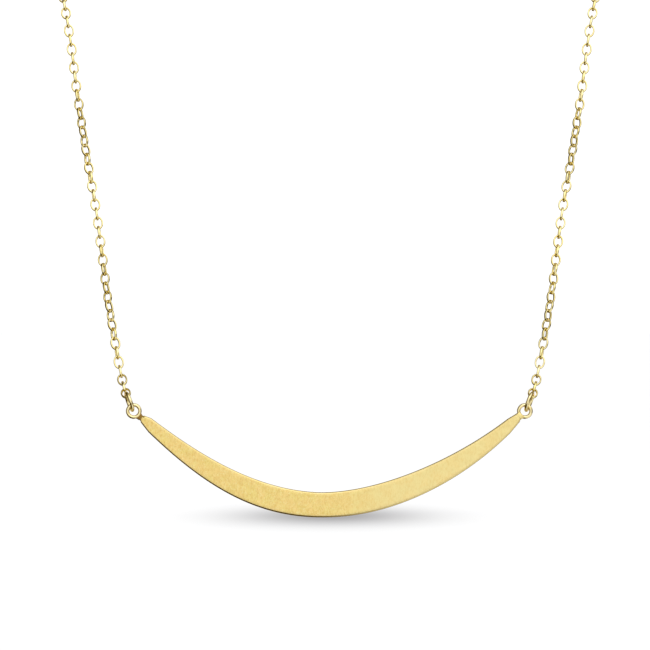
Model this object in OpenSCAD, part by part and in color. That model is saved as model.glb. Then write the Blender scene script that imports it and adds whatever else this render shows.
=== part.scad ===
// Crescent pendant necklace. A flat crescent plate with a ring soldered to each tip hangs
// from two jump rings on a fine chain of oval links, which a ring clasp closes at the nape.
// Millimetres, +Z up, the pendant faces -Y. The origin is the middle of the nape, where
// the necklace sits on the neck. The model is drawn as it hangs on a neck.

/* [Crescent plate] */
// Distance between the centres of the two end rings
ring_spread = 66.9; // [62:0.1:72]
// Thickness of the plate, front to back
plate_thick = 1; // [0.8:0.1:1.2]
// Depth of the inner edge below the end rings, at the middle
inner_drop = 13.9; // [12:0.1:14.5]
// Bend of the inner edge: 2 is a parabola, less is straighter in the arms
inner_bend = 1.83; // [1.7:0.01:2]
// Depth of the outer edge below the end rings, at the middle
outer_drop = 18.2; // [17.5:0.1:20]
// Bend of the outer edge
outer_bend = 2.08; // [2:0.01:2.3]
// Distance that the lowest point lies off the middle, towards -X
low_point_shift = 1.2; // [0:0.1:1.5]

/* [End rings and jump rings] */
// Outer diameter of the ring soldered to each tip
end_ring_d = 2.7; // [2.5:0.1:2.9]
// Wire of the soldered rings
end_ring_wire = 0.6; // [0.5:0.05:0.65]
// Outer diameter of the jump rings
jump_ring_d = 3.7; // [3.6:0.1:3.8]
// Wire of the jump rings
jump_ring_wire = 0.6; // [0.5:0.05:0.6]
// Outward tilt of the jump rings, seen from the front
jump_tilt = 26; // [22:1:28]
// Lean of the jump rings, away from the viewer
jump_lean = 30; // [26:1:34]
// Turn of the jump rings about their own length, away from edge-on
jump_turn = 12; // [0:1:14]

/* [Chain] */
// Outer length of a link
link_length = 2.42; // [2.38:0.01:2.46]
// Outer width of a link
link_width = 1.74; // [1.68:0.01:1.78]
// Thickness of the link's flattened wire, in the plane of the link
wire_thin = 0.27; // [0.25:0.01:0.29]
// Width of the link's flattened wire, across the plane of the link
wire_wide = 0.42; // [0.36:0.01:0.44]
// Least running gap between two links, on the chain's centre line
link_gap = 0.12; // [0.11:0.01:0.14]
// Running gap between a ring and what it holds
ring_gap = 0.13; // [0.1:0.01:0.14]

/* [Clasp] */
// Outer diameter of the ring clasp
clasp_d = 6; // [5.6:0.1:6.4]
// Thickness of the clasp's tube
clasp_tube = 1.1; // [1:0.05:1.2]
// Outer diameter of the eye on the clasp
clasp_eye_d = 2.5; // [2.4:0.1:2.6]
// Wire of the eye on the clasp
clasp_eye_wire = 0.55; // [0.5:0.05:0.6]
// Outer diameter of the ring that the clasp hooks
clasp_ring_d = 3.8; // [3.6:0.1:4]
// Wire of the ring that the clasp hooks
clasp_ring_wire = 0.6; // [0.55:0.05:0.65]

/* [Hidden] */

GOLD = "#E6C15A";
half_span = ring_spread / 2;

// Place of the middle of the end rings, below and in front of the nape
loop_depth = 94.8;
loop_drop = 106;

// Height that the curves of the edges reach beside the middle of an end ring
inner_rise = inner_drop + 1.07;
outer_rise = outer_drop - 1.16;
edge_steps = 32;

// Share of the low point's shift that turns back towards the tips
shift_return = 1.7;

// From here the inner and the outer edge run straight to the cut across each tip
inner_reach = half_span - 3;
outer_reach = half_span - 2.5;

// Cut across each tip, from the middle of its end ring. Columns: side, distance inward and
// height of the inner corner, the same of the outer corner, thickness of the solder
TIPS = [
    [-1, 1.50, -0.68, 0.93, -1.62, 0.5],
    [ 1, 1.15, -0.25, 0.55, -1.45, 0.8]
];
SIDE = 0;
INNER = 1;
OUTER = 3;
SOLDER = 5;

// Reach of the solder into the plate, and its distance from the corners of the cut
solder_lap = 0.4;
solder_inset = 0.05;

// Rings, as radii of the wire's centre line
end_ring_r = (end_ring_d - end_ring_wire) / 2;
jump_ring_r = (jump_ring_d - jump_ring_wire) / 2;
clasp_r = (clasp_d - clasp_tube) / 2;
clasp_eye_r = (clasp_eye_d - clasp_eye_wire) / 2;
clasp_ring_r = (clasp_ring_d - clasp_ring_wire) / 2;

// Place where a jump ring holds its end ring, in the right half: the hinge of the swing
hang_x = half_span + end_ring_r * sin(jump_tilt);
hang_z = end_ring_r * cos(jump_tilt);
jump_pull = [sin(jump_tilt) * cos(jump_lean), sin(jump_lean), cos(jump_tilt) * cos(jump_lean)];
jump_inner_r = jump_ring_r - jump_ring_wire / 2;
jump_centre = [hang_x, 0, hang_z] + (jump_inner_r - end_ring_wire / 2 - ring_gap) * jump_pull;
chain_start = jump_centre + (jump_inner_r - ring_gap + link_gap / 2) * jump_pull;

// Reach of the clasp and of the ring that it hooks, from the clasp's middle to the chains
solder_sink = 0.25;
eye_reach = clasp_d / 2 + clasp_eye_d / 2 - solder_sink;
hooked_reach = clasp_r - clasp_tube / 2 - ring_gap - clasp_ring_wire / 2 + clasp_ring_r;
left_reach = eye_reach + clasp_eye_r - clasp_eye_wire / 2 - ring_gap + link_gap / 2;
right_reach = hooked_reach + clasp_ring_r - clasp_ring_wire / 2 - ring_gap + link_gap / 2;
clasp_x = (left_reach - right_reach) / 2;
chain_end_x = (left_reach + right_reach) / 2;

// Route of the right chain, from the jump ring to the clasp, a row for each bend.
// Columns: distance from the middle plane, distance behind the pendant, height above the
// end rings, heading of a link's face, roll of the first link and of every second one
ROUTE = [
    [chain_start[0], chain_start[1], chain_start[2], -90, 0],
    [35.04,  2.35,   3.58, -90,    0],
    [35.36,  3.66,   4.65, -90,    0],
    [35.68,  4.76,   5.98, -90,    1],
    [36.00,  5.53,   7.50, -90,    3],
    [36.32,  6.05,   9.14, -90,    8],
    [37.25,  7.95,  14.20, -90,   34],
    [38.40, 10.90,  20.95, -90,   60],
    [39.35, 13.75,  27.90, -90,   81],
    [40.35, 16.60,  34.80, -90,   93],
    [41.65, 19.55,  41.85, -90,  116],
    [42.85, 22.50,  48.80, -90,  144],
    [43.95, 25.30,  55.80, -90,  172],
    [44.90, 28.10,  62.90, -90,  180],
    [46.10, 31.00,  69.90, -90,  180],
    [48.90, 40.80,  83.50, -55,  180],
    [51.00, 52.80,  94.00, -15,  180],
    [50.50, 66.00, 101.00,  15,  180],
    [45.50, 78.60, 104.50,  45,  180],
    [35.50, 88.10, 105.80,  70,  180],
    [20.00, 93.60, 106.00,  85,  180],
    [chain_end_x, loop_depth, loop_drop, 90, 180]
];
FACING = 3;
ROLL = 4;
span_steps = 10;

// A smooth curve through the rows of the route
function row(i) = ROUTE[min(max(i, 0), len(ROUTE) - 1)];
function bend_point(a, b, c, d, t) =
    0.5 * (2 * b + (c - a) * t + (2 * a - 5 * b + 4 * c - d) * t * t
           + (3 * b - a - 3 * c + d) * t * t * t);
function route_row(i, t) = bend_point(row(i - 1), row(i), row(i + 1), row(i + 2), t);
curve = concat(
    [for (i = [0 : len(ROUTE) - 2], k = [0 : span_steps - 1]) route_row(i, k / span_steps)],
    [ROUTE[len(ROUTE) - 1]]);
function place(r) = [r[0], r[1] - loop_depth, r[2] - loop_drop];
function step(i) = norm(place(curve[i]) - place(curve[i - 1]));
along = [for (i = 0, s = 0; i < len(curve); i = i + 1, s = s + (i < len(curve) ? step(i) : 0)) s];
function column(c) = [for (i = [0 : len(curve) - 1]) [along[i], curve[i][c]]];
columns = [for (c = [0 : ROLL]) column(c)];
function at(s) = [for (c = [0 : ROLL]) lookup(s, columns[c])];

// An odd number of links of equal pitch fills the route, so both end links face alike
route_length = along[len(along) - 1];
fewest = route_length / (link_length - 2 * wire_thin - link_gap);
links = 2 * ceil((fewest - 1) / 2) + 1;
pitch = route_length / links;

function unit(v) = v / norm(v);

// Axes of a piece that points along pull, with its face turned to heading and then rolled
function axes(pull, heading, roll) =
    let (face = [cos(heading), sin(heading), 0],
         across = unit(cross(pull, face)),
         back = cross(pull, across))
    [cos(roll) * across - sin(roll) * back, sin(roll) * across + cos(roll) * back, pull];

module along_axes(centre, frame)
    multmatrix([for (i = [0 : 2]) [frame[0][i], frame[1][i], frame[2][i], centre[i]]])
        children();

// A round ring in the XZ plane
module ring(r, wire)
    rotate([90, 0, 0])
        rotate_extrude($fn = 48)
            translate([r, 0]) circle(d = wire, $fn = 24);

// Flattened wire in section, two equal arcs that meet in its edges, inner side on the Y axis
module link_wire() {
    arc_r = (wire_wide * wire_wide / wire_thin + wire_thin) / 4;
    intersection() {
        translate([arc_r, 0]) circle(arc_r, $fn = 24);
        translate([wire_thin - arc_r, 0]) circle(arc_r, $fn = 24);
    }
}

// An oval link in the XZ plane, long along Z
module link() {
    inner_r = link_width / 2 - wire_thin;
    straight = link_length - link_width;
    for (end = [0, 180])
        rotate([90, end, 0])
            translate([0, straight / 2, 0])
                rotate_extrude(angle = 180, $fn = 32) translate([inner_r, 0]) link_wire();
    for (side = [0, 180])
        rotate([0, 0, side])
            translate([inner_r, 0, -straight / 2]) linear_extrude(straight) link_wire();
}

module chain(side)
    color(GOLD)
        mirror([side < 0 ? 1 : 0, 0, 0])
            for (i = [0 : links - 1]) {
                low = at(i * pitch);
                high = at((i + 1) * pitch);
                middle = at((i + 0.5) * pitch);
                along_axes((place(low) + place(high)) / 2,
                           axes(unit(place(high) - place(low)), middle[FACING],
                                middle[ROLL] + (i % 2) * 90))
                    link();
            }

module jump_ring(side)
    color(GOLD)
        mirror([side < 0 ? 1 : 0, 0, 0])
            along_axes(place(jump_centre), axes(jump_pull, -90, 90 + jump_turn))
                ring(jump_ring_r, jump_ring_wire);

// A point of an edge of the plate at x, with the low point moved to one side
function edge_point(x, drop, rise, bend) =
    let (out = pow(x / half_span, 2),
         moved = x + low_point_shift * (1 - out) * (1 - shift_return * out))
    [x, rise * pow(abs(moved) / half_span, bend) - drop];

// A corner of a tip's cut, in the plane of the plate
function corner(tip, c) = [tip[SIDE] * (half_span - tip[c]), tip[c + 1]];

module plate() {
    shares = [for (i = [-edge_steps : edge_steps]) i / edge_steps];
    inner = [for (s = shares) edge_point(inner_reach * s, inner_drop, inner_rise, inner_bend)];
    outer = [for (s = shares) edge_point(-outer_reach * s, outer_drop, outer_rise, outer_bend)];
    rotate([90, 0, 0])
        linear_extrude(plate_thick, center = true)
            polygon(concat([corner(TIPS[0], INNER)], inner, [corner(TIPS[1], INNER)],
                           [corner(TIPS[1], OUTER)], outer, [corner(TIPS[0], OUTER)]));
}

// Solder that fills the notch between a tip and its ring, set back from the faces
module solder(tip) {
    side = tip[SIDE];
    inset = solder_inset * unit(corner(tip, OUTER) - corner(tip, INNER));
    inner = corner(tip, INNER) + inset;
    outer = corner(tip, OUTER) - inset;
    rotate([90, 0, 0])
        linear_extrude(tip[SOLDER], center = true)
            polygon([inner, [side * (half_span - end_ring_r), 0], [side * half_span, -end_ring_r],
                     outer, outer - [side * solder_lap, -solder_lap / 2],
                     inner - [side * solder_lap, solder_lap]]);
}

module crescent_pendant()
    color(GOLD)
        translate([0, -loop_depth, -loop_drop]) {
            plate();
            for (tip = TIPS) {
                solder(tip);
                translate([tip[SIDE] * half_span, 0, 0]) ring(end_ring_r, end_ring_wire);
            }
        }

// The clasp lies flat on the nape, and its eye stands across it
module clasp()
    color(GOLD) {
        translate([clasp_x, 0, 0]) ring(clasp_r, clasp_tube);
        translate([clasp_x - eye_reach, 0, 0])
            rotate([90, 0, 0]) ring(clasp_eye_r, clasp_eye_wire);
    }

module clasp_ring()
    color(GOLD)
        translate([clasp_x + hooked_reach, 0, 0])
            rotate([90, 0, 0]) ring(clasp_ring_r, clasp_ring_wire);

crescent_pendant();
jump_ring(-1);  // left_jump_ring
jump_ring(1);  // right_jump_ring
chain(-1);  // left_chain
chain(1);  // right_chain
clasp();
clasp_ring();
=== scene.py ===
import math

import bmesh
import bpy
import numpy as np
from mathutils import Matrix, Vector


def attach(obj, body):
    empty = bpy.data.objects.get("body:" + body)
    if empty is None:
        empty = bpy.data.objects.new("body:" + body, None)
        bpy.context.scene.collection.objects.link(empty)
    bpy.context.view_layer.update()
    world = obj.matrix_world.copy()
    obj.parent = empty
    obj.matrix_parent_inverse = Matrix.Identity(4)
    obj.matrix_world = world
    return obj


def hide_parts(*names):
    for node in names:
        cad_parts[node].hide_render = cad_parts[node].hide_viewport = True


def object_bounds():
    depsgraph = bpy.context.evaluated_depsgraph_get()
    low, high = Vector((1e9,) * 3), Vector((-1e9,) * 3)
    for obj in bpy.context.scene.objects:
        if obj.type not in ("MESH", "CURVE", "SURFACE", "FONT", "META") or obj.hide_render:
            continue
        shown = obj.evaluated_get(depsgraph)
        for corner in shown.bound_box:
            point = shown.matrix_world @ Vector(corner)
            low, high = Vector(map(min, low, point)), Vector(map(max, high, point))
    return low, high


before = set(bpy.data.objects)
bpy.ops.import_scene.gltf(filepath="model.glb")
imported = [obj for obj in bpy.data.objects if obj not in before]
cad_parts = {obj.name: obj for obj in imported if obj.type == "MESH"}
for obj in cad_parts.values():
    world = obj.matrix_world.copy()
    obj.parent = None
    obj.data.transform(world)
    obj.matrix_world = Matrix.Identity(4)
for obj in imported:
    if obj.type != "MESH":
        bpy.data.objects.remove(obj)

cad_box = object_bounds()

MM = 0.001

# Sizes and places in mm, as in the part's source. The pendant's outline is given in its own plane,
# with X across and Z up from the middle between its two end rings
HALF_SPAN = 33.45
PLATE_THICK = 1.0
INNER_EDGE = {"drop": 13.9, "rise": 14.97, "bend": 1.83}
OUTER_EDGE = {"drop": 18.2, "rise": 17.04, "bend": 2.08}
LOW_POINT_SHIFT, SHIFT_RETURN = 1.2, 1.7

# How far out each edge curve runs; a straight stretch joins it to the cut at the tip
INNER_REACH, OUTER_REACH = HALF_SPAN - 3, HALF_SPAN - 2.5

# Inner and outer corner of the cut across each tip: distance inward from the middle of the
# end ring, and height
TIP_CUTS = {-1: ((1.50, -0.68), (0.93, -1.62)), 1: ((1.15, -0.25), (0.55, -1.45))}
END_RING_R, END_RING_WIRE = 1.05, 0.6
JUMP_RING_WIRE, CLASP_RING_WIRE = 0.6, 0.6
LOOP_DEPTH, LOOP_DROP = 94.8, 106.0
PENDANT_PLACE = Vector((0, -LOOP_DEPTH, -LOOP_DROP))


# Shapes

RING_STEPS, RING_SIDES = 96, 28

# A direction that no ring's axis has
SLANT = (0.31, 0.52, 0.79)


def unit(v):
    return v / np.linalg.norm(v)


def make_piece(name, points, faces, materials, body, replaced, face_material=None):
    """A smooth mesh of points in metres that rides on a body and stands for a CAD node."""
    mesh = bpy.data.meshes.new(name)
    mesh.from_pydata([tuple(p) for p in points], [], [tuple(int(i) for i in f) for f in faces])
    for material in materials:
        mesh.materials.append(material)
    mesh.polygons.foreach_set("use_smooth", [True] * len(mesh.polygons))
    if face_material is not None:
        mesh.polygons.foreach_set("material_index", face_material)
    mesh.validate()
    turned = bmesh.new()
    turned.from_mesh(mesh)
    bmesh.ops.recalc_face_normals(turned, faces=turned.faces)
    turned.to_mesh(mesh)
    turned.free()
    piece = bpy.data.objects.new(name, mesh)
    bpy.context.scene.collection.objects.link(piece)
    piece.visible_diffuse = False
    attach(piece, body)
    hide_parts(replaced)
    return piece


def tube_faces(rings, sides, start=0):
    """Quads of a tube that closes on itself both ways."""
    ring, side = np.meshgrid(np.arange(rings), np.arange(sides), indexing="ij")
    next_ring, next_side = (ring + 1) % rings, (side + 1) % sides
    quads = [ring * sides + side, next_ring * sides + side,
             next_ring * sides + next_side, ring * sides + next_side]
    return np.stack([q.ravel() for q in quads], axis=1) + start


def sweep(path, outward, across, profile):
    """Points of a profile, in outward and across, carried round a path."""
    points = (path[:, None, :] + outward[:, None, :] * profile[None, :, :1]
              + across[None, None, :] * profile[None, :, 1:])
    return points.reshape(-1, 3)


def oval_profile(thin, wide, sides, power):
    """A rounded wire section, thin outward and wide across."""
    turn = np.linspace(0, 2 * math.pi, sides, endpoint=False)
    reach = np.stack([np.cos(turn), np.sin(turn)], axis=1)
    return np.array([thin, wide]) / 2 * np.sign(reach) * np.abs(reach) ** (2 / power)


def torus(centre, normal, radius, wire):
    """Points and faces of a round ring of round wire, in the units given."""
    normal = unit(np.array(normal, float))
    side = unit(np.cross(normal, SLANT))
    up = np.cross(normal, side)
    turn = np.linspace(0, 2 * math.pi, RING_STEPS, endpoint=False)[:, None]
    outward = np.cos(turn) * side + np.sin(turn) * up
    points = sweep(np.array(centre) + radius * outward, outward, normal,
                   oval_profile(wire, wire, RING_SIDES, 2))
    return points, tube_faces(RING_STEPS, RING_SIDES)


# Places of the CAD solids

# Points that are closer than this, in metres, are one
WELD = 1e-7


def node_triangles(node):
    """Points of a CAD node, welded by position, and its triangles."""
    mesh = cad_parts[node].data
    points = np.empty(len(mesh.vertices) * 3)
    mesh.vertices.foreach_get("co", points)
    points = points.reshape(-1, 3)
    mesh.calc_loop_triangles()
    triangles = np.empty(len(mesh.loop_triangles) * 3, dtype=np.int32)
    mesh.loop_triangles.foreach_get("vertices", triangles)
    _, first, weld = np.unique(np.round(points / WELD).astype(np.int64), axis=0,
                               return_index=True, return_inverse=True)
    return points[first], weld.ravel()[triangles].reshape(-1, 3)


def solid_place(points, triangles):
    """Centre, axes (wide, thin, long) as rows, and size along them, of one solid's surface."""
    a, b, c = (points[triangles[:, k]] for k in range(3))
    area = np.linalg.norm(np.cross(b - a, c - a), axis=1) / 2
    centre = (area[:, None] * (a + b + c)).sum(0) / (3 * area.sum())
    a, b, c = a - centre, b - centre, c - centre
    total = a + b + c
    spread = sum(np.einsum("n,ni,nj->ij", area, v, v) for v in (total, a, b, c))
    _, axes = np.linalg.eigh(spread)
    thin, wide, long = axes.T
    thin = np.cross(long, wide)
    axes = np.stack([wide, thin, long])
    local = (points[np.unique(triangles)] - centre) @ axes.T
    return centre, axes, local.max(0) - local.min(0)


def loose_solids(node):
    """The place of each loose solid of a CAD node."""
    points, triangles = node_triangles(node)
    label = np.arange(len(points))
    while True:
        lowest = label[triangles].min(axis=1)
        merged = label.copy()
        np.minimum.at(merged, triangles.ravel(), np.repeat(lowest, 3))
        merged = merged[merged]
        if np.array_equal(merged, label):
            break
        label = merged
    owner = label[triangles[:, 0]]
    return [solid_place(points, triangles[owner == k]) for k in np.unique(owner)]


# Materials

class Nodes:
    """Short names for building a node tree."""

    def __init__(self, tree):
        self.tree = tree
        tree.nodes.clear()

    def add(self, kind, inputs=None, **settings):
        node = self.tree.nodes.new(kind)
        for key, value in settings.items():
            setattr(node, key, value)
        for key, value in (inputs or {}).items():
            self.set(node.inputs[key], value)
        return node

    def set(self, socket, value):
        if isinstance(value, bpy.types.NodeSocket):
            self.tree.links.new(value, socket)
        else:
            socket.default_value = value

    def math(self, operation, a, b=0.0):
        node = self.add("ShaderNodeMath", {0: a, 1: b}, operation=operation)
        return node.outputs[0]

    def remap(self, value, low, high, new_low=0.0, new_high=1.0, smooth=True):
        node = self.add("ShaderNodeMapRange",
                        {"Value": value, "From Min": low, "From Max": high,
                         "To Min": new_low, "To Max": new_high},
                        interpolation_type="SMOOTHSTEP" if smooth else "LINEAR")
        return node.outputs["Result"]

    def blend(self, factor, a, b):
        node = self.add("ShaderNodeMix", data_type="RGBA")
        for socket, value in zip((node.inputs[0], node.inputs[6], node.inputs[7]), (factor, a, b)):
            self.set(socket, value)
        return node.outputs[2]

    def noise(self, place, scale, detail=3.0, roughness=0.5):
        """Noise of a grain size in mm along X, Y and Z."""
        mapping = self.add("ShaderNodeMapping", {"Vector": place, "Scale": [1 / (s * MM) for s in scale]})
        node = self.add("ShaderNodeTexNoise", {"Vector": mapping.outputs[0], "Scale": 1.0,
                                               "Detail": detail, "Roughness": roughness})
        return node.outputs["Fac"]


def rgb(r, g, b):
    return (r, g, b, 1.0)


def new_material(name):
    material = bpy.data.materials.new(name)
    material.use_nodes = True
    nodes = Nodes(material.node_tree)
    shader = nodes.add("ShaderNodeBsdfPrincipled")
    nodes.add("ShaderNodeOutputMaterial", {"Surface": shader.outputs[0]})
    place = nodes.add("ShaderNodeTexCoord").outputs["Object"]
    return material, nodes, shader, place


# Grain sizes in mm along X, Y and Z
DRIFT, MARKS, SCRATCHES = (2.5, 2.5, 2.5), (0.35, 0.35, 0.35), (0.05, 0.05, 0.25)
STROKES, GRAIN, BLOTCHES = (0.17, 0.5, 0.5), (0.22, 0.3, 0.22), (1.9, 2.2, 2.0)

# Where the brushed face begins to turn smooth and where it is, in mm along X; over the same stretch it
# turns paler, which is painted light, as though the right end were lit more strongly
SMOOTH_AND_LIT_START, SMOOTH_AND_LIT_END = -3, 11
SMOOTH_MARKS = 0.4

GLANCING_GOLD = rgb(0.95, 0.80, 0.55)
# The right gold is paler than the left: painted light, as though the right end were lit more strongly
LEFT_GOLD, LIT_RIGHT_GOLD = rgb(0.935, 0.742, 0.258), rgb(0.955, 0.80, 0.358)
WARM_GOLD, STROKE_GOLD, PALE_GOLD = rgb(0.97, 0.71, 0.27), rgb(0.76, 0.50, 0.11), rgb(1.0, 0.88, 0.45)


def polished_gold(name, light, deep, roughness, scratch):
    """Bright gold with faint colour drift, handling marks and fine scratches."""
    material, nodes, shader, place = new_material(name)
    drift = nodes.noise(place, DRIFT, 2)
    marks = nodes.noise(place, MARKS, 4, 0.6)
    fine = nodes.noise(place, SCRATCHES, 3, 0.6)
    shader.inputs["Metallic"].default_value = 1.0
    shader.inputs["Specular Tint"].default_value = GLANCING_GOLD
    nodes.set(shader.inputs["Base Color"], nodes.blend(nodes.remap(drift, 0.3, 0.7), light, deep))
    nodes.set(shader.inputs["Roughness"],
              nodes.remap(marks, 0.3, 0.75, roughness * 0.75, roughness * 1.4))
    bump = nodes.add("ShaderNodeBump", {"Height": fine, "Strength": scratch, "Distance": 0.01 * MM})
    nodes.set(shader.inputs["Normal"], bump.outputs[0])
    return material


def brushed_gold(name):
    """Satin gold with fine upright strokes that fade towards +X, where it is smoother and paler; the paler
    tone is painted light, as though that end were lit more strongly.
    """
    material, nodes, shader, place = new_material(name)
    x = nodes.add("ShaderNodeSeparateXYZ", {0: place}).outputs[0]
    strokes = nodes.noise(place, STROKES, 4, 0.65)
    grain = nodes.noise(place, GRAIN, 3, 0.6)
    blotch = nodes.noise(place, BLOTCHES, 3, 0.6)
    smooth = nodes.remap(x, SMOOTH_AND_LIT_START * MM, SMOOTH_AND_LIT_END * MM)
    mark = nodes.remap(smooth, 0.0, 1.0, 1.0, SMOOTH_MARKS, smooth=False)
    # Paler towards +X: painted light, as though lit more strongly from the right
    tone = nodes.blend(smooth, LEFT_GOLD, LIT_RIGHT_GOLD)
    warm = nodes.math("MULTIPLY", nodes.remap(blotch, 0.35, 0.65, 0.0, 0.8), mark)
    tone = nodes.blend(warm, tone, WARM_GOLD)
    dark = nodes.math("MULTIPLY", nodes.remap(strokes, 0.42, 0.7, 0.0, 0.5), mark)
    tone = nodes.blend(dark, tone, STROKE_GOLD)
    pale = nodes.math("MULTIPLY", nodes.remap(grain, 0.48, 0.72, 0.0, 0.6), mark)
    tone = nodes.blend(pale, tone, PALE_GOLD)
    shader.inputs["Metallic"].default_value = 1.0
    nodes.set(shader.inputs["Base Color"], tone)
    nodes.set(shader.inputs["Roughness"], nodes.remap(strokes, 0.3, 0.7, 0.36, 0.5))
    relief = nodes.math("ADD", nodes.math("MULTIPLY", strokes, 0.6), nodes.math("MULTIPLY", grain, 0.4))
    relief = nodes.math("MULTIPLY", relief, mark)
    bump = nodes.add("ShaderNodeBump", {"Height": relief, "Strength": 0.25, "Distance": 0.05 * MM})
    wave = nodes.add("ShaderNodeBump", {"Height": blotch, "Strength": 0.2, "Distance": 0.1 * MM,
                                        "Normal": bump.outputs[0]})
    nodes.set(shader.inputs["Normal"], wave.outputs[0])
    return material


brushed = brushed_gold("brushed_gold")
# The rim gold is darker than the ring and chain gold: painted shade on the plate's rounded rims
shaded_edge_gold = polished_gold("polished_edge", rgb(0.82, 0.67, 0.32), rgb(0.77, 0.61, 0.25), 0.2, 0.2)
ring_gold = polished_gold("ring_gold", rgb(1.0, 0.87, 0.50), rgb(0.95, 0.79, 0.38), 0.15, 0.25)
chain_gold = polished_gold("chain_gold", rgb(1.0, 0.88, 0.46), rgb(0.95, 0.79, 0.31), 0.09, 0.2)
# The left solder's dark brown is painted shade for the recessed notch between the left tip and its ring
shaded_solder = polished_gold("shaded_solder", rgb(0.34, 0.20, 0.05), rgb(0.20, 0.11, 0.02), 0.32, 0.6)


# The pendant

EDGE_ROUND = 0.3
LEAST_ROUND = 0.02
ARM_STATIONS, TIP_STATIONS = 170, 6
FRONT_STRIPS = 10
ROUND_STEPS = 4

# The solder stays a little inside the tip's cut, laps over the plate, and is as thick at the plate and
# at the ring as given for each side
WEB_INSET, WEB_LAP, WEB_BEVEL = 0.05, 0.4, 0.08
WEB_THICK = {-1: (0.5, 0.5), 1: (0.98, 0.62)}


def edge_point(x, drop, rise, bend):
    """A point of an edge of the plate at x, with the low point moved to one side."""
    out = (x / HALF_SPAN) ** 2
    moved = x + LOW_POINT_SHIFT * (1 - out) * (1 - SHIFT_RETURN * out)
    return np.array([x, 0, rise * abs(moved / HALF_SPAN) ** bend - drop])


def corners(side):
    """Inner and outer corner of the cut across a tip."""
    return [np.array([side * (HALF_SPAN - inward), 0, height]) for inward, height in TIP_CUTS[side]]


def edge_lines():
    """Points along the inner and the outer edge, from the left tip's cut to the right one's."""
    lines = []
    for number, (edge, reach) in enumerate(((INNER_EDGE, INNER_REACH), (OUTER_EDGE, OUTER_REACH))):
        arm = [edge_point(x, **edge) for x in np.linspace(-reach, reach, ARM_STATIONS)]
        start, end = corners(-1)[number], corners(1)[number]
        steps = np.arange(1, TIP_STATIONS) / TIP_STATIONS
        left = [start + (arm[0] - start) * t for t in steps]
        right = [arm[-1] + (end - arm[-1]) * t for t in steps]
        lines.append([start] + left + arm + right + [end])
    return lines


def plate_section(width, inset):
    """A rounded rectangle from the inner to the outer edge and round the back, as (s, y)."""
    half = PLATE_THICK / 2 - inset
    radius = max(EDGE_ROUND - inset, LEAST_ROUND)
    low, high = inset + radius, width - inset - radius
    corner_turns = [(high, -half + radius, -90), (high, half - radius, 0),
                    (low, half - radius, 90), (low, -half + radius, 180)]
    section = [(low + (high - low) * k / FRONT_STRIPS, -half) for k in range(FRONT_STRIPS)]
    for number, (s, y, start) in enumerate(corner_turns):
        for k in range(ROUND_STEPS + 1):
            turn = math.radians(start + 90 * k / ROUND_STEPS)
            section.append((s + radius * math.cos(turn), y + radius * math.sin(turn)))
        if number == 1:
            section += [(high + (low - high) * k / FRONT_STRIPS, half) for k in range(1, FRONT_STRIPS)]
    return section[:-1]


def section_points(inner, outer, inset=0.0, shift=0.0):
    """A section's points between two edge points, moved along the plate by shift, in mm."""
    across = unit(outer - inner)
    along = np.array([-across[2], 0, across[0]])
    section = np.array(plate_section(np.linalg.norm(outer - inner), inset))
    return inner + section[:, :1] * across + section[:, 1:] * np.array([0, 1, 0]) + shift * along


def crescent_plate():
    inner, outer = edge_lines()
    rounds = [math.pi / 2 * k / ROUND_STEPS for k in range(ROUND_STEPS + 1)]
    tip = [(EDGE_ROUND * (1 - math.cos(a)), EDGE_ROUND * (math.sin(a) - 1)) for a in rounds]
    rows = [section_points(inner[0], outer[0], inset, -shift) for inset, shift in reversed(tip)]
    rows += [section_points(a, b) for a, b in zip(inner[1:-1], outer[1:-1])]
    rows += [section_points(inner[-1], outer[-1], inset, shift) for inset, shift in tip]
    sides = len(rows[0])
    side = np.arange(sides)
    next_side = (side + 1) % sides
    quads = np.vstack([np.stack([r + side, r + sides + side, r + sides + next_side, r + next_side], axis=1)
                       for r in range(0, (len(rows) - 1) * sides, sides)])
    last = (len(rows) - 1) * sides
    faces = [tuple(q) for q in quads] + [tuple(range(sides)), tuple(reversed(range(last, last + sides)))]
    back = FRONT_STRIPS + 2 * ROUND_STEPS + 1
    is_flat = (side < FRONT_STRIPS) | ((side >= back) & (side < back + FRONT_STRIPS))
    slots = np.append(np.tile(np.where(is_flat, 0, 1), len(rows) - 1), [1, 1])
    points = (np.vstack(rows) + np.array(PENDANT_PLACE)) * MM
    make_piece("crescent_plate", points, faces, [brushed, shaded_edge_gold], "pendant",
               "crescent_pendant", slots)


def end_rings():
    points, faces = [], []
    for side in (-1, 1):
        place = np.array(PENDANT_PLACE) + np.array([side * HALF_SPAN, 0, 0])
        ring, quads = torus(place * MM, (0, 1, 0), END_RING_R * MM, END_RING_WIRE * MM)
        faces.append(quads + sum(len(p) for p in points))
        points.append(ring)
    make_piece("end_rings", np.vstack(points), np.vstack(faces), [ring_gold], "pendant",
               "crescent_pendant")


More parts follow.
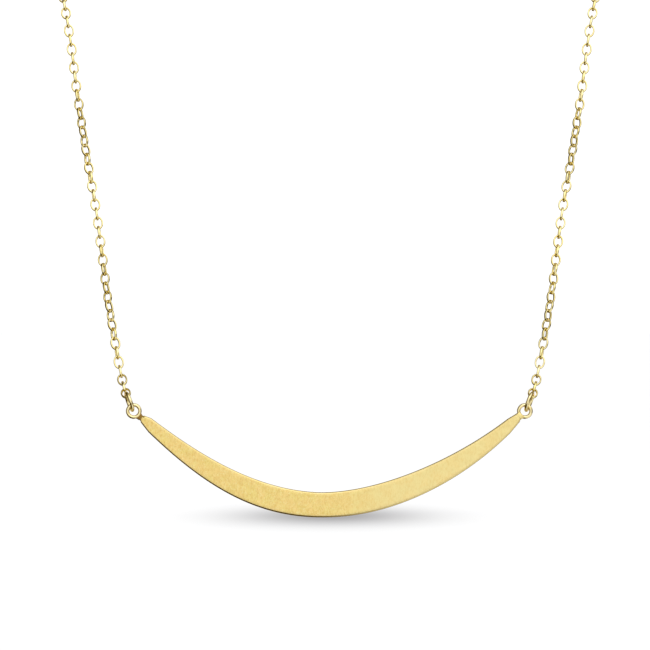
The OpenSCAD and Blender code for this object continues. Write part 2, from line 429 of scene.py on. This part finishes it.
def solder(side, name, material):
    """A small web of solder between a tip and its ring."""
    plate_side, ring_side = WEB_THICK[side]
    inner, outer = corners(side)
    inset = WEB_INSET * unit(outer - inner)
    inner, outer = inner + inset, outer - inset
    outline = [(inner, plate_side), (np.array([side * (HALF_SPAN - END_RING_R), 0, 0]), ring_side),
               (np.array([side * HALF_SPAN, 0, -END_RING_R]), ring_side), (outer, plate_side),
               (outer - np.array([side * WEB_LAP, 0, -WEB_LAP / 2]), plate_side),
               (inner - np.array([side * WEB_LAP, 0, WEB_LAP]), plate_side)]
    count = len(outline)
    points = [(place + np.array([0, face * thick / 2, 0]) + np.array(PENDANT_PLACE)) * MM
              for face in (-1, 1) for place, thick in outline]
    turn = [(0, 1, 2), (0, 2, 3), (0, 3, 4), (0, 4, 5)]
    faces = turn + [tuple(k + count for k in reversed(face)) for face in turn]
    faces += [(k, k + count, (k + 1) % count + count, (k + 1) % count) for k in range(count)]
    piece = make_piece(name, points, faces, [material], "pendant", "crescent_pendant")
    bevel = piece.modifiers.new("bevel", "BEVEL")
    bevel.width = WEB_BEVEL * MM
    bevel.segments = 3


# The chain and its rings

# A link's wire, thin outward and wide across; its section is an oval at 2 and squarer above that
LINK_THIN, LINK_WIDE = 0.27, 0.42
LINK_BOW = 3.4
LINK_STEPS, LINK_SIDES = 44, 14


def link_path(length, width):
    """The wire's oval centre line in the plane of a link, and its outward direction."""
    turn = np.linspace(0, 2 * math.pi, LINK_STEPS, endpoint=False)
    reach = np.array([(width - LINK_THIN * MM) / 2, 1, (length - LINK_THIN * MM) / 2])
    path = np.stack([np.cos(turn), 0 * turn, np.sin(turn)], axis=1) * reach
    outward = path / reach ** 2
    return path, outward / np.linalg.norm(outward, axis=1, keepdims=True)


def chain(node):
    profile = oval_profile(LINK_THIN * MM, LINK_WIDE * MM, LINK_SIDES, LINK_BOW)
    points, faces = [], []
    for centre, axes, size in loose_solids(node):
        path, outward = link_path(size[2], size[0])
        link = sweep(path, outward, np.array([0, 1, 0]), profile)
        faces.append(tube_faces(len(path), LINK_SIDES, sum(len(p) for p in points)))
        points.append(centre + link @ axes)
    make_piece(f"{node}_links", np.vstack(points), np.vstack(faces), [chain_gold], "chain_loop",
               node)


def plain_ring(node, wire):
    [(centre, axes, size)] = loose_solids(node)
    radius = max(size[0], size[2]) / 2 - wire * MM / 2
    points, faces = torus(centre, axes[1], radius, wire * MM)
    make_piece(f"{node}_wire", points, faces, [ring_gold], "chain_loop", node)


crescent_plate()
end_rings()
solder(-1, "left_solder", shaded_solder)
solder(1, "right_solder", brushed)
for side in ("left", "right"):
    chain(f"{side}_chain")
    plain_ring(f"{side}_jump_ring", JUMP_RING_WIRE)
plain_ring("clasp_ring", CLASP_RING_WIRE)
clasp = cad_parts["clasp"]
clasp.data.materials.clear()
clasp.data.materials.append(ring_gold)


# Stage, light and camera

# The floor lies just under the part and reaches 40 metres each way
FLOOR_GAP = 0.3
FLOOR_HALF = 40000.0
FLOOR_WHITES = rgb(0.90, 0.90, 0.90), rgb(0.89, 0.89, 0.895)
FLOOR_SPECKS = (60.0, 60.0, 60.0)

# The soft shade under the pendant, painted into the floor's colour: its middle and how fast it fades, in
# mm along X and Y
SHADE_PLACE = (0.0, -LOOP_DEPTH + 27)
SHADE_REACH = (11.7, 54.0)
SHADE_DEPTH = 0.625
SHADE_COLOUR = rgb(0.02, 0.01, 0.02)


def floor():
    lowest = cad_box[0].z - FLOOR_GAP * MM
    half = FLOOR_HALF * MM
    places = [(-half, -half, lowest), (half, -half, lowest), (half, half, lowest), (-half, half, lowest)]
    mesh = bpy.data.meshes.new("floor")
    mesh.from_pydata(places, [], [(0, 1, 2, 3)])
    plane = bpy.data.objects.new("floor", mesh)
    bpy.context.scene.collection.objects.link(plane)
    material = bpy.data.materials.new("floor_white")
    material.use_nodes = True
    nodes = Nodes(material.node_tree)
    matt = nodes.add("ShaderNodeBsdfDiffuse")
    nodes.add("ShaderNodeOutputMaterial", {"Surface": matt.outputs[0]})
    place = nodes.add("ShaderNodeTexCoord").outputs["Object"]
    parts = nodes.add("ShaderNodeSeparateXYZ", {0: place}).outputs
    # The painted shade under the pendant: a soft oval where the floor's colour darkens
    reach = []
    for axis in range(2):
        off = nodes.math("SUBTRACT", parts[axis], SHADE_PLACE[axis] * MM)
        reach.append(nodes.math("POWER", nodes.math("DIVIDE", off, SHADE_REACH[axis] * MM), 2.0))
    fall = nodes.math("MULTIPLY", nodes.math("ADD", *reach), -0.5)
    shade = nodes.math("MULTIPLY", nodes.math("EXPONENT", fall), SHADE_DEPTH)
    speck = nodes.noise(place, FLOOR_SPECKS, 2)
    white = nodes.blend(nodes.remap(speck, 0.3, 0.7), *FLOOR_WHITES)
    nodes.set(matt.inputs["Color"], nodes.blend(shade, white, SHADE_COLOUR))
    mesh.materials.append(material)
    plane.visible_glossy = False


def soft_light(name, place, target, size, power):
    light = bpy.data.lights.new(name, "AREA")
    light.shape = "SQUARE"
    light.size = size * MM
    light.energy = power
    lamp = bpy.data.objects.new(name, light)
    lamp.location = Vector(place) * MM
    lamp.rotation_euler = (Vector(target) - Vector(place)).to_track_quat("-Z", "Y").to_euler()
    bpy.context.scene.collection.objects.link(lamp)
    lamp.visible_camera = False


# The cards that the metal mirrors, as parts of a unit direction: where a card ends and where it is full
FRONT_ACROSS, FRONT_AHEAD, FRONT_BOTTOM = (0.62, 0.3), (-0.1, -0.45), (-0.5, -0.2)
RIGHT_ACROSS, RIGHT_AHEAD, RIGHT_TALL = (-0.1, 0.35), (0.6, 0.15), (0.15, 0.45)
BACK_BEHIND = (0.72, 0.95)
TOP_ACROSS, TOP_AHEAD, TOP_HEIGHT = (-0.35, -0.05), (-0.1, -0.4), (0.1, 0.7)

# How bright the cards are: white in front, part of that elsewhere, and stronger toward the top
FRONT_SIDES, RIGHT_LEVEL, BACK_LEVEL = 0.42, 0.85, 0.8
CARD_LIGHT, TOP_LIGHT = 1.07, 1.6
DARK_ROOM = rgb(0.07, 0.048, 0.006)
WHITE_LIGHT = 1.13


def surroundings():
    """Bright white all round; the metal mirrors a studio with a card in front that is dimmer at
    its sides and brighter at its top, cards above and below at the right and one behind."""
    world = bpy.data.worlds.new("studio")
    bpy.context.scene.world = world
    world.use_nodes = True
    nodes = Nodes(world.node_tree)
    way = nodes.add("ShaderNodeTexCoord").outputs["Generated"]
    x, y, z = nodes.add("ShaderNodeSeparateXYZ", {0: way}).outputs[:3]
    apart = nodes.math("ABSOLUTE", x)
    tall = nodes.math("ABSOLUTE", z)
    front = nodes.math("MULTIPLY", nodes.remap(y, *FRONT_AHEAD), nodes.remap(z, *FRONT_BOTTOM))
    front = nodes.math("MULTIPLY", front, nodes.remap(apart, *FRONT_ACROSS, FRONT_SIDES))
    right = nodes.math("MULTIPLY", nodes.remap(x, *RIGHT_ACROSS), nodes.remap(y, *RIGHT_AHEAD))
    right = nodes.math("MULTIPLY", right, nodes.remap(tall, *RIGHT_TALL, 0.0, RIGHT_LEVEL))
    back = nodes.remap(y, *BACK_BEHIND, 0.0, BACK_LEVEL)
    level = nodes.math("MAXIMUM", nodes.math("MAXIMUM", front, right), back)
    top = nodes.math("MULTIPLY", nodes.remap(z, *TOP_HEIGHT), nodes.remap(y, *TOP_AHEAD))
    top = nodes.math("MULTIPLY", top, nodes.remap(x, *TOP_ACROSS))
    strength = nodes.remap(top, 0.0, 1.0, CARD_LIGHT, TOP_LIGHT, smooth=False)
    card = nodes.blend(level, DARK_ROOM, rgb(1, 1, 1))
    studio = nodes.add("ShaderNodeBackground", {"Color": card, "Strength": strength})
    white = nodes.add("ShaderNodeBackground", {"Color": rgb(1, 1, 1), "Strength": WHITE_LIGHT})
    mirrored = nodes.add("ShaderNodeLightPath").outputs["Is Glossy Ray"]
    mix = nodes.add("ShaderNodeMixShader", {0: mirrored, 1: white.outputs[0], 2: studio.outputs[0]})
    nodes.add("ShaderNodeOutputWorld", {"Surface": mix.outputs[0]})


# The photograph's width in pixels and its pixels per mm, and what its middle shows, in mm from the
# pendant's middle
PHOTO_WIDTH, PHOTO_SCALE = 650, 5.846
VIEW_SIDE, VIEW_HEIGHT = -0.74, 14.72
CAMERA_DISTANCE = 1500.0
SENSOR = 36.0


def camera():
    lens = bpy.data.cameras.new("camera")
    lens.sensor_width = SENSOR
    lens.lens = SENSOR * CAMERA_DISTANCE * PHOTO_SCALE / PHOTO_WIDTH
    lens.clip_start, lens.clip_end = 0.1, 200.0
    eye = bpy.data.objects.new("camera", lens)
    eye.location = (PENDANT_PLACE + Vector((VIEW_SIDE, -CAMERA_DISTANCE, VIEW_HEIGHT))) * MM
    eye.rotation_euler = (math.pi / 2, 0, 0)
    bpy.context.scene.collection.objects.link(eye)
    bpy.context.scene.camera = eye


floor()
surroundings()
soft_light("overhead", place=(0, -150, 700), target=(0, -60, -60), size=700, power=0.3)
camera()
bpy.context.scene.view_settings.view_transform = "Standard"
